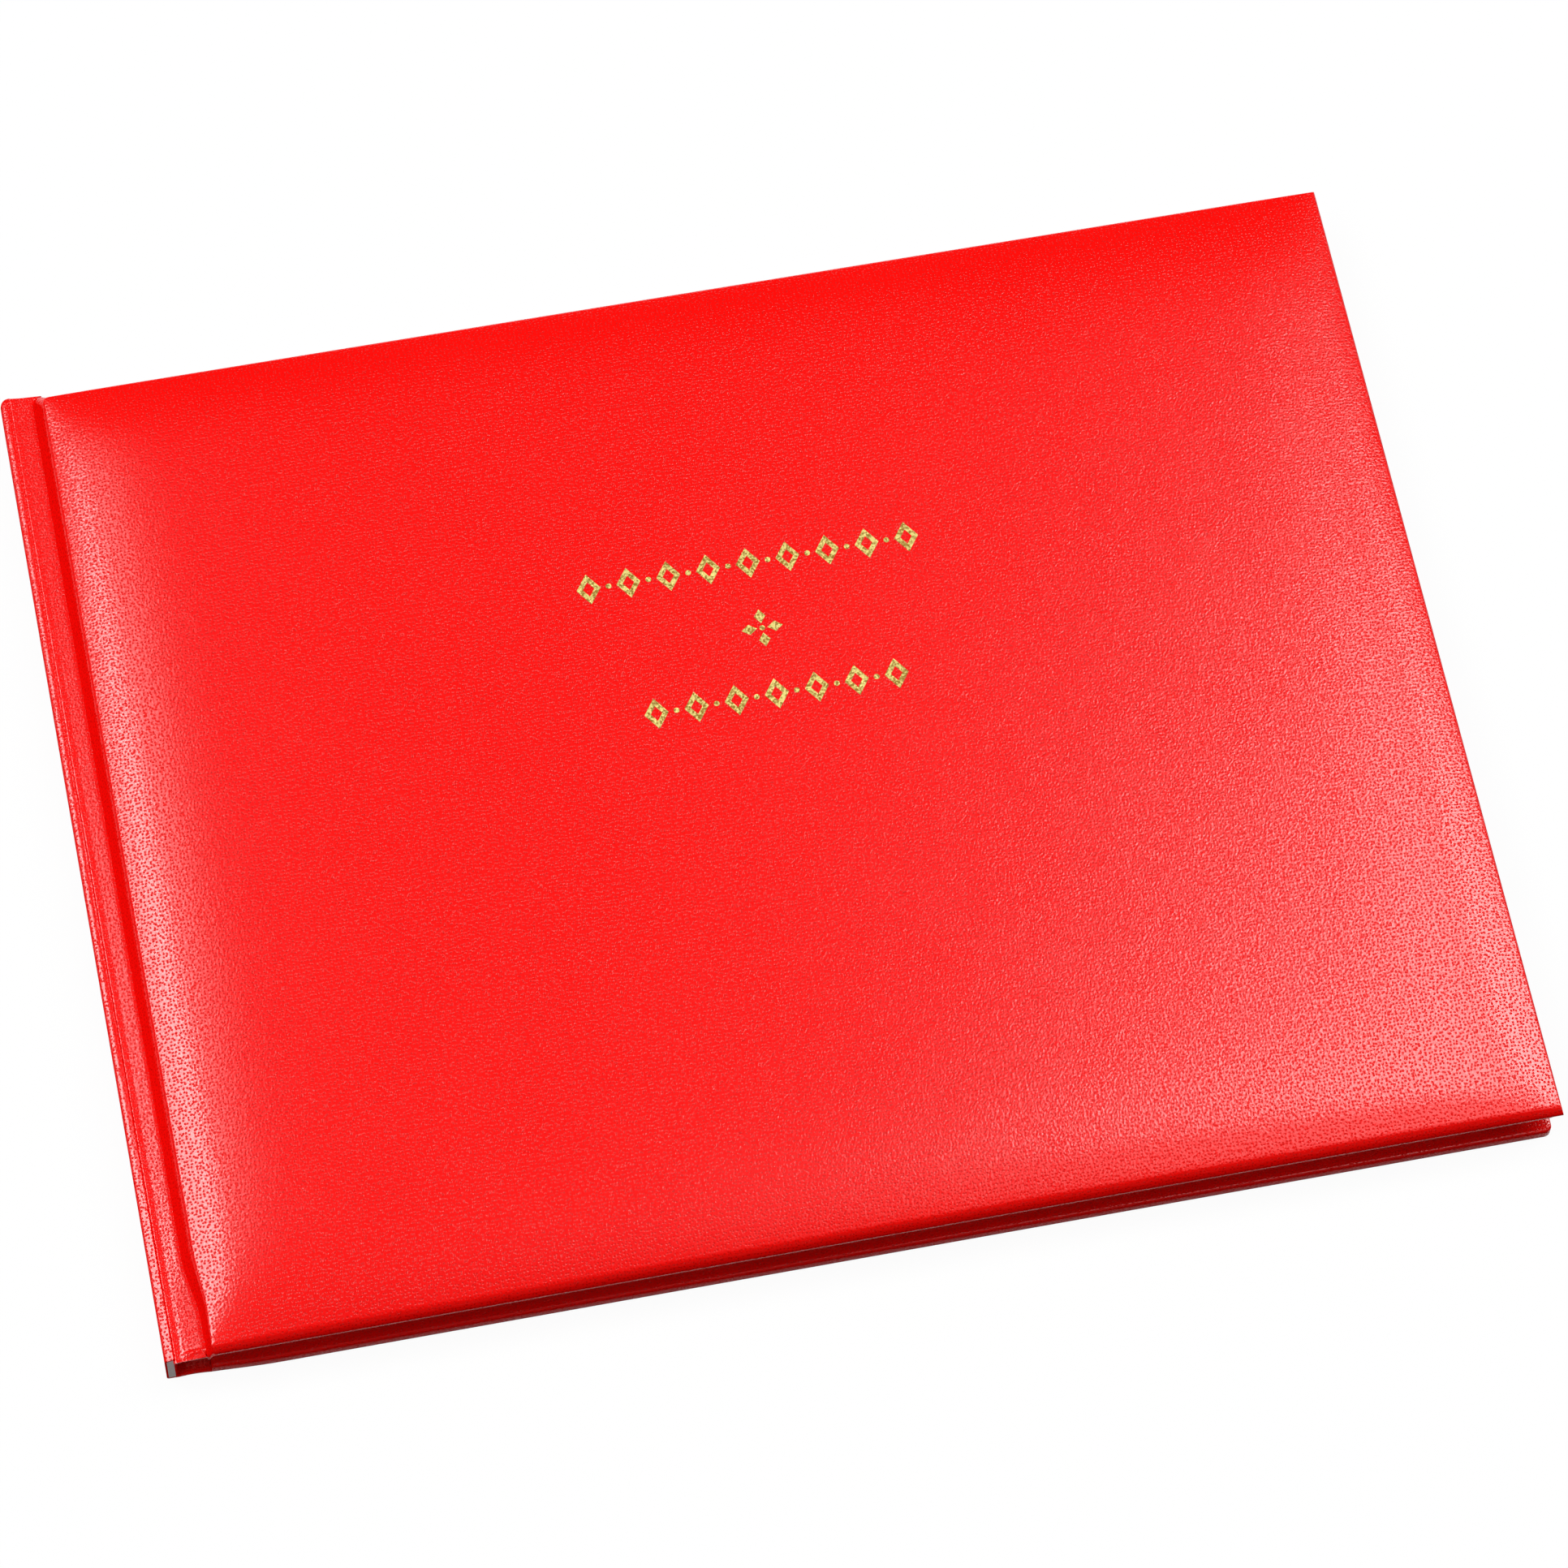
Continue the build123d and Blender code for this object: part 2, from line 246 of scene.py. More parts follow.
def thicken(mesh, under, top):
    """Close a flat sheet into a slab, whose faces are given as functions of a place."""
    lower = list(mesh.verts)
    raised = bmesh.ops.extrude_face_region(mesh, geom=list(mesh.faces))["geom"]
    upper = [item for item in raised if isinstance(item, bmesh.types.BMVert)]
    for vertices, level in ((lower, under), (upper, top)):
        for vertex in vertices:
            vertex.co.z = level(vertex.co.x, vertex.co.y)


def soften(mesh):
    """Point a mesh's faces outwards and shade it smooth, apart from its sharp edges."""
    bmesh.ops.recalc_face_normals(mesh, faces=list(mesh.faces))
    if mesh.calc_volume(signed=True) < 0:
        bmesh.ops.reverse_faces(mesh, faces=list(mesh.faces))
    for face in mesh.faces:
        face.smooth = True
    for edge in mesh.edges:
        if len(edge.link_faces) == 2 and edge.calc_face_angle() > SHARP_EDGE:
            edge.smooth = False


def lay_flat(mesh, name):
    """UV map in millimetres, laid on each face along the axis that it faces most."""
    layer = mesh.loops.layers.uv.new(name)
    across = ((1, 2), (0, 2), (0, 1))
    for face in mesh.faces:
        facing = max(range(3), key=lambda axis: abs(face.normal[axis]))
        u, v = across[facing]
        for loop in face.loops:
            loop[layer].uv = (loop.vert.co[u] / MM, loop.vert.co[v] / MM)


def mark_rubbed(mesh, starts):
    """Record where a surface stands on edge, and has lost its gloss by handling."""
    mesh.normal_update()
    layer = mesh.verts.layers.float.new("rubbed")
    for vertex in mesh.verts:
        upward_part = vertex.normal.z
        vertex[layer] = smooth_step(*starts, upward_part) - smooth_step(*RUBBED_ENDS, upward_part)


def piece(name, mesh, finish):
    """Finished object at the origin with one material."""
    data = bpy.data.meshes.new(name)
    mesh.to_mesh(data)
    mesh.free()
    made = bpy.data.objects.new(name, data)
    bpy.context.scene.collection.objects.link(made)
    data.materials.append(finish)
    return made


# Material helpers

class Nodes:
    """Short calls for the nodes of a tree."""

    def __init__(self, tree):
        self.tree = tree

    def node(self, kind, settings=None, **inputs):
        """Node with its properties set, and its inputs given by name as values or as other nodes' outputs."""
        made = self.tree.nodes.new("ShaderNode" + kind)
        for name, value in (settings or {}).items():
            setattr(made, name, value)
        for name, value in inputs.items():
            self.feed(made.inputs[name.replace("_", " ")], value)
        return made

    def feed(self, socket, value):
        """Link an output to a socket, or set the socket's value."""
        if isinstance(value, bpy.types.NodeSocket):
            self.tree.links.new(value, socket)
        else:
            socket.default_value = value

    def ramp(self, value, low, high, start=0.0, end=1.0):
        """Smooth change from start to end as a value goes from low to high."""
        made = self.node("MapRange", {"interpolation_type": "SMOOTHSTEP"}, Value=value,
                         From_Min=low, From_Max=high, To_Min=start, To_Max=end)
        return made.outputs["Result"]

    def combine(self, kind, operation, values):
        """Outputs of an operation on values, which fill its inputs in their order."""
        made = self.node(kind, {"operation": operation})
        for socket, value in zip(made.inputs, values):
            self.feed(socket, value)
        return made.outputs

    def math(self, operation, *values):
        """Sum, product or other operation on values."""
        return self.combine("Math", operation, values)["Value"]

    def seen_white(self):
        """One for rays from the camera, from gloss and through glass, and nought for the rest."""
        rays = self.node("LightPath").outputs
        total = rays["Is Camera Ray"]
        for name in ("Is Glossy Ray", "Is Transmission Ray"):
            total = self.math("MAXIMUM", total, rays[name])
        return total


class Finish(Nodes):
    """Material with short calls for its nodes and its shader."""

    def __init__(self, name):
        self.material = bpy.data.materials.new(name)
        self.material.use_nodes = True
        super().__init__(self.material.node_tree)
        self.shader = self.tree.nodes["Principled BSDF"]

    def set(self, **inputs):
        """Feed the shader's own sockets."""
        for name, value in inputs.items():
            self.feed(self.shader.inputs[name.replace("_", " ")], value)

    def place(self, uv_map=None):
        """Millimetres on the piece: its own UV map, or object coordinates brought to millimetres."""
        if uv_map:
            return self.node("UVMap", {"uv_map": uv_map}).outputs["UV"]
        coordinates = self.node("TexCoord").outputs["Object"]
        return self.node("Mapping", Vector=coordinates, Scale=(1 / MM, 1 / MM, 1 / MM)).outputs["Vector"]

    def shade(self, share, first, second):
        """Colour between two others."""
        made = self.node("Mix", {"data_type": "RGBA"})
        self.feed(made.inputs[0], share)
        self.feed(made.inputs[6], first)
        self.feed(made.inputs[7], second)
        return made.outputs[2]

    def noise(self, place, scale, detail):
        """Soft cloudy value."""
        return self.node("TexNoise", Vector=place, Scale=scale, Detail=detail).outputs["Fac"]

    def bump(self, height, depth):
        """Relief of a real depth, sent to the shader."""
        made = self.node("Bump", Height=height, Distance=depth)
        self.set(Normal=made.outputs["Normal"])


# Materials

def leatherette():
    """Red leatherette: glossy plateaus between small pits, some of which run together; the pits' darker red
    is painted shade.
    """
    finish = Finish("cover_leatherette")
    place = finish.place("grain")
    sway = finish.node("TexNoise", Vector=place, Scale=0.9, Detail=1.0).outputs["Color"]
    swayed = finish.combine("VectorMath", "MULTIPLY_ADD", (sway, (GRAIN_SWAY, GRAIN_SWAY, GRAIN_SWAY), place))
    pits = finish.node("TexVoronoi", {"voronoi_dimensions": "2D", "feature": "SMOOTH_F1"},
                       Vector=swayed["Vector"], Scale=1 / GRAIN_PITCH, Smoothness=0.3, Randomness=0.65)
    uneven = finish.math("MULTIPLY_ADD", finish.noise(place, scale=1.7, detail=1.0), -0.30, 0.15)
    reach = finish.math("ADD", pits.outputs["Distance"], uneven)
    plateau = finish.ramp(reach, low=0.12, high=0.34)
    gloss = finish.ramp(reach, low=0.10, high=0.46, start=0.15, end=1.0)
    wear = finish.ramp(finish.noise(place, scale=2.0, detail=2.0), low=0.35, high=0.65, start=0.7, end=1.0)
    rubbed = finish.node("Attribute", {"attribute_name": "rubbed"}).outputs["Fac"]
    unrubbed = finish.ramp(rubbed, low=0.0, high=1.0, start=1.0, end=0.0)
    gloss = finish.math("MULTIPLY", finish.math("MULTIPLY", gloss, wear), unrubbed)
    cloud = finish.noise(place, scale=0.05, detail=3.0)
    red = finish.shade(cloud, (0.93, 0.0020, 0.0012, 1), (0.97, 0.0040, 0.0025, 1))
    # the darker red in the pits is painted shade in the grain's hollows
    pit_shaded_red = (0.72, 0.0028, 0.0014, 1)
    finish.set(
        Base_Color=finish.shade(plateau, pit_shaded_red, red),
        Roughness=finish.ramp(plateau, low=0.0, high=1.0, start=0.35, end=0.15),
        Specular_IOR_Level=gloss,
    )
    dimples = finish.noise(place, scale=2.6, detail=1.0)
    finish.bump(finish.math("ADD", plateau, dimples), depth=0.025 * MM)
    return finish.material


def gold_foil():
    """Stamped foil, mottled at random between dull and bright gold: partly the foil's own unevenness, partly
    painted highlight and painted shade.
    """
    finish = Finish("gold_foil")
    mottle_and_painted_glints = finish.ramp(finish.noise(finish.place(), scale=3.0, detail=2.0), low=0.36, high=0.60)
    # dull gold is painted shade and bright gold is painted highlight, standing in for the glints along the
    # foil's rims
    dull_gold_painted_shade = (0.32, 0.17, 0.005, 1)
    bright_gold_painted_highlight = (1.0, 0.84, 0.26, 1)
    finish.set(
        Base_Color=finish.shade(mottle_and_painted_glints, dull_gold_painted_shade, bright_gold_painted_highlight),
        Metallic=0.35,
        Roughness=finish.ramp(mottle_and_painted_glints, low=0.0, high=1.0, start=0.4, end=0.22),
    )
    finish.bump(mottle_and_painted_glints, depth=0.08 * MM)
    return finish.material


def page_paper(name, uv_map=None, ruled=False):
    """Cream paper with fibres, and ruled lines on the leaves."""
    finish = Finish(name)
    place = finish.place(uv_map)
    fibres = finish.noise(place, scale=3.5, detail=5.0)
    cream = finish.shade(fibres, (0.80, 0.74, 0.60, 1), (0.90, 0.86, 0.74, 1))
    if ruled:
        across = finish.node("SeparateXYZ", Vector=place).outputs["Y"]
        line = finish.math("PINGPONG", across, RULING / 2)
        inked = finish.ramp(line, low=0.06, high=0.14, start=1.0, end=0.0)
        pale_blue = (0.30, 0.38, 0.50, 1)
        cream = finish.shade(finish.math("MULTIPLY", inked, 0.55), cream, pale_blue)
    finish.set(Base_Color=cream, Roughness=0.85, Specular_IOR_Level=0.2)
    finish.bump(fibres, depth=0.02 * MM)
    return finish.material


def pale_card():
    """Cut end of the spine's card."""
    finish = Finish("pale_card")
    layers = finish.ramp(finish.noise(finish.place(), scale=4.0, detail=4.0), low=0.3, high=0.7)
    finish.set(
        Base_Color=finish.shade(layers, (0.88, 0.74, 0.71, 1), (0.97, 0.88, 0.85, 1)),
        Roughness=0.9,
    )
    return finish.material


def glued_gauze():
    """Open weave of threads set in glue."""
    finish = Finish("glued_gauze")
    place = finish.node("SeparateXYZ", Vector=finish.place())
    along = finish.math("PINGPONG", place.outputs["Y"], GAUZE_PITCH / 2)
    across = finish.math("PINGPONG", place.outputs["Z"], GAUZE_PITCH / 2)
    thread = finish.ramp(finish.math("MAXIMUM", along, across), low=0.25, high=0.4)
    glue_tan = (0.55, 0.47, 0.32, 1)
    thread_white = (0.80, 0.76, 0.66, 1)
    finish.set(Base_Color=finish.shade(thread, glue_tan, thread_white), Roughness=0.8)
    finish.bump(thread, depth=0.1 * MM)
    return finish.material


def index_ink():
    """Printed letters on the index tabs, slightly uneven."""
    finish = Finish("index_ink")
    cover = finish.noise(finish.place(), scale=6.0, detail=2.0)
    finish.set(Base_Color=finish.shade(cover, (0.02, 0.02, 0.03, 1), (0.06, 0.06, 0.08, 1)), Roughness=0.6)
    return finish.material


# Front cover

def swell(distance):
    """Share of the padding's full rise at a distance in from an edge."""
    return 1 - math.exp(-max(distance, 0.0) / SWELL_LENGTH)


def roll_drop(distance, reach):
    """Share of its depth by which a roll has dropped at a distance in from its outermost line."""
    share = min(max(1 - distance / reach, 0.0), 1.0)
    return 1 - (1 - share ** ROLL_SQUARENESS) ** (1 / ROLL_SQUARENESS)


def joint_top(x, y):
    """Leatherette in the joint: up from the bead's foot to a low crest and down to the cover's wall."""
    if x < JOINT_VALLEY.x:
        return JOINT_VALLEY.z + min(x - JOINT_VALLEY.x + TUCK_LEVEL, 0.0) * CLOTH_THICKNESS / TUCK_DEPTH
    down = (front_high.y - y) / (front_high.y - front_low.y)
    slope = JOINT_SLOPES[0] + (JOINT_SLOPES[1] - JOINT_SLOPES[0]) * down ** JOINT_TWIST
    rise = slope * max(min(x, JOINT_CREST) - JOINT_START, 0.0)
    level = JOINT_VALLEY.z + rise - JOINT_FALL * max(x - JOINT_CREST, 0.0)
    along = (x - CREASE_PLACE.x) / CREASE_SIZE.x
    across = (y - CREASE_PLACE.y - CREASE_LEAN * (x - CREASE_PLACE.x)) / CREASE_SIZE.y
    return level + CREASE_HEIGHT * math.exp(-along ** 2 - across ** 2)


def crown_top(x, y):
    """Padded cover's upper face, rolled over at head, tail and fore edge and hollowed beside the joint."""
    outer = (front_high.x - x, y - front_low.y, front_high.y - y)
    drop = roll_depth * max(map(roll_drop, outer, (FORE_ROLL, TAIL_ROLL, FORE_ROLL)))
    near = x - cover_near
    share = swell(near - NEAR_ROLL) * math.prod(swell(distance) for distance in outer)
    rise = SHOULDER_RISE + DOME_RISE - (x - panel_middle) ** 2 / (2 * dome_radius)
    near_drop = max(1 - near / NEAR_ROLL, 0.0) ** NEAR_HOLLOW * (edge_level - joint_top(x, y))
    return edge_level + rise * share - drop - near_drop


def front_top(x, y):
    """Upper face over joint, near wall and cover."""
    if x <= cover_near:
        return joint_top(x, y)
    return crown_top(x, y)


def front_under(x, y):
    """Lower face: the joint's underside, and the lip, whose edges lift to a tip at the fore corners."""
    if x < lining_low.x - JOINT_STEP:
        return joint_top(x, y) - CLOTH_THICKNESS
    if x < hinges["front_cover_hinge"].x - JOINT_STEP:
        return max(joint_top(x, y) - CLOTH_THICKNESS, lining_high.z + LINING_GAP)
    if x < cover_near:
        return lip
    far = front_high.x - x
    side = min(y - front_low.y, front_high.y - y)
    nearness = max(1 - math.hypot(far, side) / CORNER_REACH, 0.0)
    rounded = round_drop(min(far, side), LIP_RADIUS) * smooth_step(0.0, LIP_START, x - cover_near)
    return min(lip + rounded + CORNER_LIFT * nearness ** 2, front_top(x, y) - SIDE_FLAT)


def corner_shift(x, y):
    """How far the cover's near edge is drawn back round its corners, and the roll's foot towards the tail."""
    corner = round_drop(front_high.y - y, NEAR_HEAD_CORNER) + round_drop(y - front_low.y, NEAR_TAIL_CORNER)
    foot = (NEAR_ROLL - NEAR_TAIL_ROLL) * (1 - smooth_step(*NEAR_TAIL_RANGE, y - front_low.y))
    past = x - cover_near
    beside = smooth_step(-NEAR_CORNER_LEAD, 0.0, past)
    drawn = corner * (beside - smooth_step(NEAR_ROLL, NEAR_CORNER_FADE, past))
    return drawn + foot * (beside - smooth_step(0.0, NEAR_TAIL_FADE, past))


def overhang(x):
    """How far spine and joint stand past the covers at the head."""
    share = (x - spine_low.x) / (cover_near - spine_low.x)
    stretch = SPINE_OVERHANG + min(share, 1.0) * (JOINT_OVERHANG - SPINE_OVERHANG)
    return stretch * (1 - smooth_step(0.0, NEAR_ROLL, x - cover_near))


def tail_shift(place, near, reach):
    """How far a joint's tail stands in from its cover's, which fades out over a reach past the near edge."""
    nearness = 1 - smooth_step(front_low.y, front_low.y + TAIL_REACH, place.y)
    return TAIL_SHORT * nearness * (1 - smooth_step(0.0, reach, place.x - near))


def cover_rows(low, high):
    """Lines across a cover, drawn together near its head and tail."""
    return edge_lines(low, low + EDGE_ZONE, high - EDGE_ZONE, high, ROW_COUNTS)


def joint_columns(end):
    """Lines along a joint, drawn together where it bends about its hinge."""
    fold = hinges["front_cover_hinge"].x
    columns = graded(JOINT_VALLEY.x - TUCK_DEPTH, fold - BEND_HALF, count=4)
    columns += graded(fold - BEND_HALF, fold + BEND_HALF, count=14)
    return columns + graded(fold + BEND_HALF, end, count=12)


def front_cover_skin(finish):
    """Padded leatherette over the front board, with the joint that ties it to the spine."""
    first = front_low.x + EDGE_ZONE
    last = front_high.x - EDGE_ZONE
    columns = joint_columns(cover_near) + edge_lines(cover_near, first, last, front_high.x, FRONT_COUNTS)
    mesh = spread(columns, cover_rows(front_low.y, front_high.y))
    thicken(mesh, front_under, front_top)
    for vertex in mesh.verts:
        drawn = smooth_step(front_high.y - OVERHANG_REACH, front_high.y, vertex.co.y)
        shift = corner_shift(vertex.co.x, vertex.co.y)
        vertex.co.y += overhang(vertex.co.x) * drawn + tail_shift(vertex.co, cover_near, NEAR_ROLL)
        vertex.co.x += shift
    soften(mesh)
    lay_flat(mesh, "grain")
    mark_rubbed(mesh, FRONT_RUBBED_STARTS)
    skin = piece("front_cover_skin", mesh, finish)
    fold = hinges["front_cover_hinge"]
    bend = Vector((BEND_HALF, 0, 0))
    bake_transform(skin, "spine", "front_cover", start=fold - bend, end=fold + bend)
    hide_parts("front_wrap", "front_pad", "front_board", "front_joint")


# Back cover

def back_inset(x, y):
    """Distance in from the back cover's outline, whose fore corners are rounded."""
    far = back_fore - x
    side = min(y - back_low.y, back_high.y - y)
    if far < BACK_CORNER and side < BACK_CORNER:
        return BACK_CORNER - math.hypot(BACK_CORNER - far, BACK_CORNER - side)
    return min(far, side)


def back_fold(x, y):
    """How far each face of the back cover has dropped at its folded edges."""
    return round_drop(max(min(back_inset(x, y), x - back_low.x), 0.0), FOLD_RADIUS)


def back_joint_under(x):
    """Lower face of the back joint, which is slightly arched between spine and cover."""
    share = (x - JOINT_VALLEY.x) / (back_low.x - JOINT_VALLEY.x)
    return back_joint_low.z + BACK_BOW * math.sin(math.pi * min(max(share, 0.0), 1.0))


def back_under(x, y):
    """Lower face over back joint and cover."""
    if x < back_low.x:
        return back_joint_under(x)
    return back_low.z + back_fold(x, y)


def back_top(x, y):
    """Upper face over back joint and cover."""
    if x < back_low.x:
        return back_joint_under(x) + CLOTH_THICKNESS
    return back_high.z - back_fold(x, y)


def back_cover_skin(finish):
    """Flat back cover with folded edges and rounded fore corners, and its joint beside the spine."""
    columns = joint_columns(back_low.x - BACK_STEP) + [back_low.x - BACK_STEP]
    columns += edge_lines(back_low.x, back_low.x + BACK_ZONE, back_fore - BACK_ZONE, back_fore, BACK_COUNTS)
    mesh = spread(columns, cover_rows(back_low.y, back_high.y))
    thicken(mesh, back_under, back_top)
    for vertex in mesh.verts:
        vertex.co.y += tail_shift(vertex.co, hinges["back_cover_hinge"].x, BACK_TAIL_FADE)
        if vertex.co.x > back_fore - BACK_CORNER and back_inset(vertex.co.x, vertex.co.y) < 0:
            side = math.copysign(back_high.y - BACK_CORNER, vertex.co.y)
            centre = Vector((back_fore - BACK_CORNER, side, 0))
            outward = Vector((vertex.co.x, vertex.co.y, 0)) - centre
            outward.length = BACK_CORNER
            vertex.co.x, vertex.co.y = (centre + outward).xy
    soften(mesh)
    lay_flat(mesh, "grain")
    mark_rubbed(mesh, RUBBED_STARTS)
    skin = piece("back_cover_skin", mesh, finish)
    fold = hinges["back_cover_hinge"]
    bend = Vector((BEND_HALF, 0, 0))
    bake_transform(skin, "spine", "back_cover", start=fold - bend, end=fold + bend)
    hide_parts("back_wrap", "back_board", "back_joint")


# Spine

def spine_skin(finish, card):
    """Leatherette folded round the spine's card, whose ends show, with a bead along its upper edge."""
    outer = spine_low.x
    inner = spine_high.x
    head = spine_high.y
    section = (
        (outer, spine_low.z), (outer, BEAD_EDGE), (BEAD_CREST.x, BEAD_CREST.z),
        (inner, JOINT_VALLEY.z), (inner, spine_low.z),
    )
    mesh = bmesh.new()
    corners = [mesh.verts.new((x, spine_low.y, z)) for x, z in section]
    mesh.faces.new(corners)
    bmesh.ops.bevel(mesh, geom=corners[:2], offset=SPINE_ROUND, offset_type="OFFSET", segments=6, profile=0.5,
                    affect="VERTICES", material=-1)
    end = mesh.faces[:][0]
    stops = [spine_low.y + SPINE_TAIL_REACH, 0.0, head - SPINE_HEAD_REACH]
    stops += closing(head - SPINE_CORNER, head, count=10)
    for stop in stops:
        covered = [end] if stop > stops[0] else []
        raised = bmesh.ops.extrude_face_region(mesh, geom=[end])["geom"]
        bmesh.ops.delete(mesh, geom=covered, context="FACES_ONLY")
        for item in raised:
            if isinstance(item, bmesh.types.BMVert):
                item.co.y = stop
        end = [item for item in raised if isinstance(item, bmesh.types.BMFace)][0]
    for vertex in mesh.verts:
        share = (inner - vertex.co.x) / (inner - outer)
        vertex.co.x += share * round_drop(head - vertex.co.y, SPINE_CORNER)
        vertex.co.y += overhang(vertex.co.x) * smooth_step(head - SPINE_HEAD_REACH, head, vertex.co.y)
        if vertex.co.z > BEAD_CREST.z - TOLERANCE:
            vertex.co.z -= BEAD_SINK * smooth_step(0.0, head, vertex.co.y)
        if vertex.co.y < stops[0]:
            vertex.co.y += TAIL_SHORT + SPINE_SLANT * vertex.co.z / BEAD_CREST.z
    bmesh.ops.recalc_face_normals(mesh, faces=list(mesh.faces))
    ends = [face for face in mesh.faces if len(face.verts) > 4]
    bmesh.ops.inset_individual(mesh, faces=ends, thickness=CLOTH_THICKNESS, use_even_offset=True)
    soften(mesh)
    lay_flat(mesh, "grain")
    mark_rubbed(mesh, RUBBED_STARTS)
    rubbed = mesh.verts.layers.float["rubbed"]
    for vertex in mesh.verts:
        if vertex.co.x > inner - TOLERANCE:
            vertex[rubbed] = 1.0
    for face in ends:
        face.material_index = 1
    skin = piece("spine_skin", mesh, finish)
    skin.data.materials.append(card)
    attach(skin, "spine")
    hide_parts("spine_wrap", "spine_inlay")


# Leaves

def leaf_sheet(level, thickness, tab_low):
    """One leaf, cut back along the fore edge below its tab, with the tab's lower corner rounded."""
    tab_near = leaf_high.x - TAB_DEPTH
    columns = graded(leaf_low.x, leaf_low.x + GUTTER, count=18)
    columns += [leaf_low.x + GUTTER, tab_near, leaf_high.x]
    rows = [leaf_low.y, leaf_high.y]
    if tab_low > leaf_low.y + TOLERANCE:
        rows.insert(1, tab_low)
    mesh = spread(columns, rows)
    cut = []
    for face in mesh.faces:
        middle = face.calc_center_median()
        if middle.x > tab_near and middle.y < tab_low:
            cut.append(face)
    bmesh.ops.delete(mesh, geom=cut, context="FACES")
    corner = min(mesh.verts, key=lambda vertex: (vertex.co - Vector((leaf_high.x, tab_low, 0))).length)
    bmesh.ops.bevel(mesh, geom=[corner], offset=TAB_CORNER, offset_type="OFFSET", segments=5, profile=0.5,
                    affect="VERTICES", material=-1)
    thicken(mesh, lambda x, y: level, lambda x, y: level + thickness)
    soften(mesh)
    lay_flat(mesh, "page")
    return mesh


def hang_leaf(leaf, body):
    """Let a leaf bend from the spine into its own body."""
    start = Vector((leaf_low.x + GUTTER_START, 0, 0))
    end = Vector((leaf_low.x + GUTTER, 0, 0))
    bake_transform(leaf, "spine", body, start=start, end=end)


def flyleaf(name, finish):
    """Free half of an endpaper."""
    low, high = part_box(name)
    sheet = leaf_sheet(low.z, high.z - low.z, leaf_low.y)
    leaf = piece(name + "_sheet", sheet, finish)
    hang_leaf(leaf, name)
    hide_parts(name)


def leaf_pair(index, letters, finish):
    """Leaves that share an index tab."""
    body = "leaves_" + letters
    low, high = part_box(body)
    tab_low = leaf_high.y - (index + 1) * tab_height
    step = (high.z - low.z - LEAF_THICKNESS) / (LEAVES_PER_PAIR - 1)
    for number in range(LEAVES_PER_PAIR):
        sheet = leaf_sheet(low.z + number * step, LEAF_THICKNESS, tab_low)
        leaf = piece("leaf_%s_%d" % (letters, number + 1), sheet, finish)
        hang_leaf(leaf, body)
        if number == 0:
            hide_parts(body)


def index_letters(index, letters, finish):
    """Letters printed on a pair's tab."""
    body = "leaves_" + letters
    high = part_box(body)[1]
    text = bpy.data.curves.new("index_text", "FONT")
    text.body = letters.upper()
    text.size = LETTER_SIZE
    text.align_x = "CENTER"
    text.align_y = "CENTER"
    text.resolution_u = 4
    text.extrude = LETTER_PROUD
    carrier = bpy.data.objects.new("index_text", text)
    bpy.context.scene.collection.objects.link(carrier)
    printed = bpy.data.meshes.new_from_object(carrier.evaluated_get(bpy.context.evaluated_depsgraph_get()))
    bpy.data.objects.remove(carrier)
    mesh = bmesh.new()
    mesh.from_mesh(printed)
    bmesh.ops.remove_doubles(mesh, verts=list(mesh.verts), dist=LETTER_PROUD / 5)
    middle = Vector((leaf_high.x - TAB_DEPTH / 2, leaf_high.y - (index + 0.5) * tab_height, high.z))
    bmesh.ops.translate(mesh, vec=middle, verts=list(mesh.verts))
    tab = piece("index_" + letters, mesh, finish)
    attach(tab, body)


# Stage

def upward(x, y):
    """Unit direction with these parts along X and Y, above the floor."""
    return Vector((x, y, math.sqrt(1 - x * x - y * y)))


def softbox(name, x_range, y_range, radiance):
    """Area lamp that faces the book, fills a range of directions and is as bright as given from there."""
    middle_x = sum(x_range) / 2
    middle_y = sum(y_range) / 2
    outward = upward(middle_x, middle_y)
    sideways = (Vector((1, 0, 0)) - outward * outward.x).normalized()
    lamp = bpy.data.lights.new(name, "AREA")
    lamp.shape = "RECTANGLE"
    lamp.size = LAMP_DISTANCE * (upward(x_range[1], middle_y) - upward(x_range[0], middle_y)).length
    lamp.size_y = LAMP_DISTANCE * (upward(middle_x, y_range[1]) - upward(middle_x, y_range[0])).length
    lamp.energy = radiance * math.pi * lamp.size * lamp.size_y
    holder = bpy.data.objects.new(name, lamp)
    bpy.context.scene.collection.objects.link(holder)
    holder.location = outward * LAMP_DISTANCE
    holder.rotation_euler = Matrix((sideways, outward.cross(sideways), outward)).transposed().to_euler()
    holder.visible_camera = False


def studio_world():
    """White surroundings, with a dark ceiling for gloss and a soft light from overhead for the surfaces."""
    world = bpy.data.worlds.new("studio")
    bpy.context.scene.world = world
    world.use_nodes = True
    sky = Nodes(world.node_tree)
    outward = sky.node("TexCoord").outputs["Generated"]
    height = sky.node("SeparateXYZ", Vector=outward).outputs["Z"]
    lean = sky.combine("VectorMath", "DOT_PRODUCT", (outward, AMBIENT_FROM))["Value"]
    overhead = sky.math("POWER", sky.math("MAXIMUM", lean, 0.0), AMBIENT_NARROWNESS)
    around = sky.ramp(height, *AMBIENT_RISE, AMBIENT_LOW, AMBIENT_EVEN)
    lighting = sky.math("ADD", sky.math("MULTIPLY", overhead, AMBIENT), around)
    ceiling = sky.ramp(height, *CEILING_RISE, 1.0, CEILING)
    shown = sky.math("MAXIMUM", ceiling, sky.node("LightPath").outputs["Is Camera Ray"])
    level = sky.node("MapRange", Value=sky.seen_white(), To_Min=lighting, To_Max=shown)
    background = sky.tree.nodes["Background"]
    sky.feed(background.inputs["Color"], (1, 1, 1, 1))
    sky.feed(background.inputs["Strength"], level.outputs["Result"])


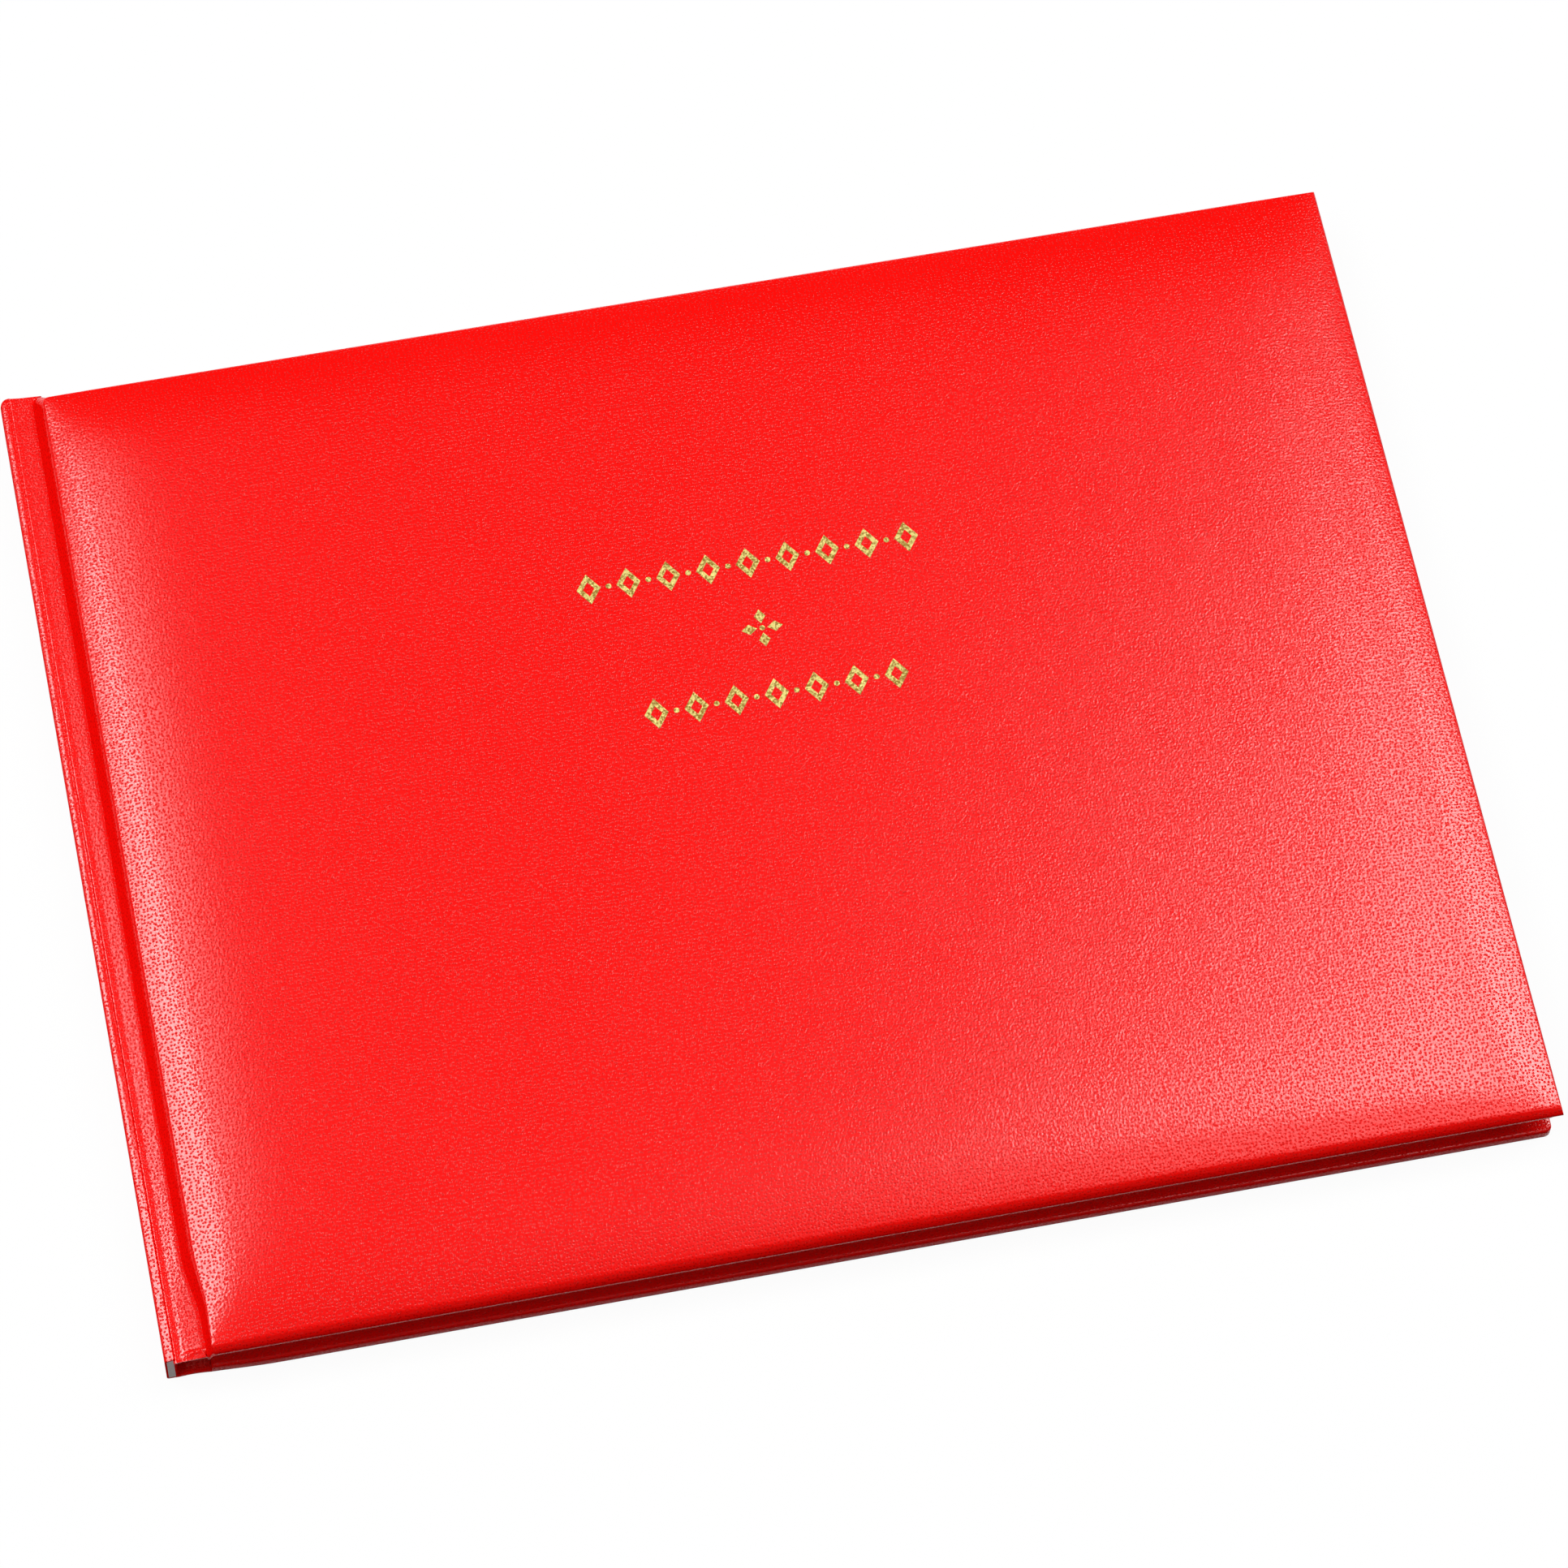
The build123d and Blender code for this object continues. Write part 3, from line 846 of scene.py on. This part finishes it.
def studio_floor():
    """Pale floor that keeps the book's soft shadow."""
    finish = Finish("pale_floor")
    grey = finish.ramp(finish.seen_white(), 0.0, 1.0, FLOOR_BOUNCE, FLOOR_SHOWN)
    lit = finish.node("BsdfDiffuse", Color=grey)
    white = finish.node("Emission", Color=(1, 1, 1, 1), Strength=1.0)
    glow = finish.math("MULTIPLY", finish.node("LightPath").outputs["Is Camera Ray"], FLOOR_GLOW)
    floor_mix = finish.node("MixShader", Fac=glow)
    finish.feed(floor_mix.inputs[1], lit.outputs["BSDF"])
    finish.feed(floor_mix.inputs[2], white.outputs["Emission"])
    finish.feed(finish.tree.nodes["Material Output"].inputs["Surface"], floor_mix.outputs["Shader"])
    mesh = bmesh.new()
    bmesh.ops.create_grid(mesh, x_segments=1, y_segments=1, size=FLOOR_HALF)
    floor = bpy.data.objects.new("studio_floor", bpy.data.meshes.new("studio_floor"))
    mesh.to_mesh(floor.data)
    mesh.free()
    floor.data.materials.append(finish.material)
    bpy.context.scene.collection.objects.link(floor)


def photo_camera():
    """Camera at the photograph's place and angle."""
    lens = bpy.data.cameras.new("photo_camera")
    lens.lens = CAMERA_LENS
    lens.sensor_width = CAMERA_SENSOR
    lens.clip_start = CAMERA_CLIP
    holder = bpy.data.objects.new("photo_camera", lens)
    holder.location = CAMERA_PLACE
    holder.rotation_euler = [math.radians(angle) for angle in CAMERA_TURN]
    bpy.context.scene.collection.objects.link(holder)
    bpy.context.scene.camera = holder


def dress(node, finish):
    """Give a CAD node a new material."""
    data = frame["nodes"][node].data
    data.materials.clear()
    data.materials.append(finish)


# Assembly
cover_leatherette = leatherette()
front_cover_skin(cover_leatherette)
back_cover_skin(cover_leatherette)
spine_skin(cover_leatherette, pale_card())

ruled_paper = page_paper("ruled_paper", "page", ruled=True)
plain_flyleaf = page_paper("flyleaf_paper", "page")
ink = index_ink()
for name in ("front_flyleaf", "back_flyleaf"):
    flyleaf(name, plain_flyleaf)
for index, letters in enumerate(LETTER_PAIRS):
    leaf_pair(index, letters, ruled_paper)
    index_letters(index, letters, ink)

pasted_paper = page_paper("pastedown_paper")
dress("front_pastedown", pasted_paper)
dress("back_pastedown", pasted_paper)
dress("spine_lining", glued_gauze())
dress("foil_ornament", gold_foil())

# Lamps, each with its range of directions along X and along Y, and its brightness
softbox("left_key", (-0.68, -0.29), (0.22, 0.46), 6.0)
softbox("left_low", (-0.70, -0.46), (-0.12, 0.22), 5.2)
softbox("left_fill", (-0.38, -0.12), (0.35, 0.53), 2.5)
softbox("right_low", (0.15, 0.34), (-0.28, 0.08), 1.6)
softbox("right_front", (0.15, 0.60), (-0.60, -0.28), 0.6)
softbox("right_fill", (0.185, 0.35), (0.08, 0.35), 5.4)
softbox("right_upper", (0.235, 0.36), (0.35, 0.395), 7.6)
softbox("right_top", (0.275, 0.37), (0.395, 0.425), 6.6)
softbox("right_step", (0.37, 0.45), (0.08, 0.39), 3.2)
softbox("right_key", (0.45, 0.88), (0.08, 0.39), 6.4)

# Surroundings and camera
studio_world()
studio_floor()
photo_camera()
bpy.context.scene.view_settings.view_transform = "Standard"
